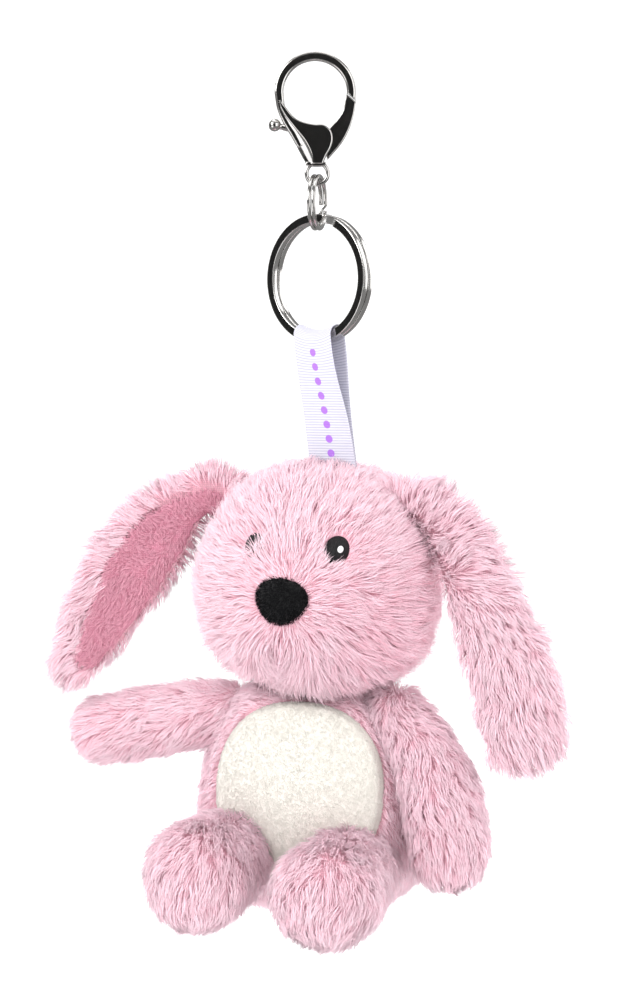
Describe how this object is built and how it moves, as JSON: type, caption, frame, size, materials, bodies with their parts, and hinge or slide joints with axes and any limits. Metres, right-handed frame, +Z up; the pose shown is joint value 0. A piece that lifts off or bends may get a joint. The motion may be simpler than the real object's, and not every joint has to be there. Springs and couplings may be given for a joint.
{
  "type": "plush keychain",
  "caption": "Soft long-eared rabbit hanging by a ribbon from a split ring, with a small ring and a sprung lobster clasp above.",
  "frame": {"origin": "inside top of the clasp bow, where the object hangs from a hook, strap or ring", "axes": "+Z up, rabbit facing -Y, +X to the right of a viewer in front of it"},
  "size_m": [0.1323, 0.0704, 0.2149],
  "materials": {
    "nickel": "polished nickel plate",
    "spring_steel": "bright drawn steel",
    "grosgrain": "ribbed matt ribbon",
    "plush": "long soft pile",
    "ear_lining": "short soft pile",
    "belly_cloth": "smooth short nap",
    "stuffing": "loose polyester fibre",
    "nose_felt": "black brushed pile",
    "eye_thread": "satin stitch",
    "highlight_thread": "satin stitch",
    "mouth_thread": "satin stitch"
  },
  "bodies": {
    "clasp": {"clasp_body": "nickel", "trigger_pin": "spring_steel", "trigger_spring": "spring_steel"},
    "trigger": {"trigger_lever": "nickel"},
    "small_ring": {"small_split_ring": "nickel"},
    "large_ring": {"large_split_ring": "nickel"},
    "ribbon": {"ribbon_loop": "grosgrain"},
    "head": {"head_cover": "plush", "head_stuffing": "stuffing", "nose_pad": "nose_felt", "eye_left": "eye_thread", "eye_right": "eye_thread", "eye_left_highlight": "highlight_thread", "eye_right_highlight": "highlight_thread", "mouth_stitch": "mouth_thread"},
    "torso": {"torso_cover": "plush", "torso_stuffing": "stuffing", "belly_patch": "belly_cloth"},
    "ear_left": {"ear_left_back": "plush", "ear_left_lining": "ear_lining"},
    "arm_left": {"arm_left_cover": "plush", "arm_left_stuffing": "stuffing"},
    "leg_left": {"leg_left_cover": "plush", "leg_left_stuffing": "stuffing"},
    "ear_right": {"ear_right_back": "plush", "ear_right_lining": "ear_lining"},
    "arm_right": {"arm_right_cover": "plush", "arm_right_stuffing": "stuffing"},
    "leg_right": {"leg_right_cover": "plush", "leg_right_stuffing": "stuffing"}
  },
  "joints": [
    {"name": "trigger_press", "type": "hinge", "parent": "clasp", "child": "trigger", "pos_m": [0.00114, 0.00037, -0.0186], "axis": [0.309, -0.9511, 0], "range_deg": [0, 28], "stiffness_Nm_per_rad": 0.004, "springref_deg": -5.73},
    {"name": "small_ring_swing", "type": "hinge", "parent": "clasp", "child": "small_ring", "pos_m": [0.00048, 0.00015, -0.02775], "axis": [0.309, -0.9511, 0], "range_deg": [-35, 35]},
    {"name": "large_ring_swing", "type": "hinge", "parent": "small_ring", "child": "large_ring", "pos_m": [0.00048, 0.00015, -0.0349], "axis": [0.9971, 0.0767, 0], "range_deg": [-35, 35]},
    {"name": "ribbon_slide", "type": "hinge", "parent": "large_ring", "child": "ribbon", "pos_m": [0.00095, 0.00031, -0.0538], "axis": [-0.3907, -0.9205, 0], "range_deg": [-25, 25]},
    {"name": "ribbon_flex", "type": "hinge", "parent": "ribbon", "child": "head", "pos_m": [0.00505, 0, -0.1026], "axis": [1, 0, 0], "range_deg": [-20, 20]},
    {"name": "neck_nod", "type": "hinge", "parent": "head", "child": "torso", "pos_m": [0.0003, 0.0055, -0.1554], "axis": [1, 0, 0], "range_deg": [-8, 8], "stiffness_Nm_per_rad": 0.12},
    {"name": "ear_left_lift", "type": "hinge", "parent": "head", "child": "ear_left", "pos_m": [-0.01901, 0.00036, -0.10927], "axis": [0, 1, 0], "range_deg": [0, 25], "stiffness_Nm_per_rad": 0.02, "springref_deg": 1.15},
    {"name": "ear_right_lift", "type": "hinge", "parent": "head", "child": "ear_right", "pos_m": [0.01968, 0.00035, -0.10892], "axis": [0, 1, 0], "range_deg": [-25, 0], "stiffness_Nm_per_rad": 0.02, "springref_deg": -1.15},
    {"name": "arm_left_lower", "type": "hinge", "parent": "torso", "child": "arm_left", "pos_m": [-0.02122, 0.00331, -0.16342], "axis": [0, 1, 0], "range_deg": [-30, 4], "stiffness_Nm_per_rad": 0.03},
    {"name": "arm_right_swing", "type": "hinge", "parent": "torso", "child": "arm_right", "pos_m": [0.02037, 0.0009, -0.16176], "axis": [1, 0, 0], "range_deg": [-30, 4], "stiffness_Nm_per_rad": 0.03},
    {"name": "leg_left_swing", "type": "hinge", "parent": "torso", "child": "leg_left", "pos_m": [-0.01685, -0.00575, -0.19607], "axis": [1, 0, 0], "range_deg": [-15, 20], "stiffness_Nm_per_rad": 0.06},
    {"name": "leg_right_swing", "type": "hinge", "parent": "torso", "child": "leg_right", "pos_m": [0.01312, -0.00554, -0.19855], "axis": [1, 0, 0], "range_deg": [-15, 20], "stiffness_Nm_per_rad": 0.06}
  ]
}
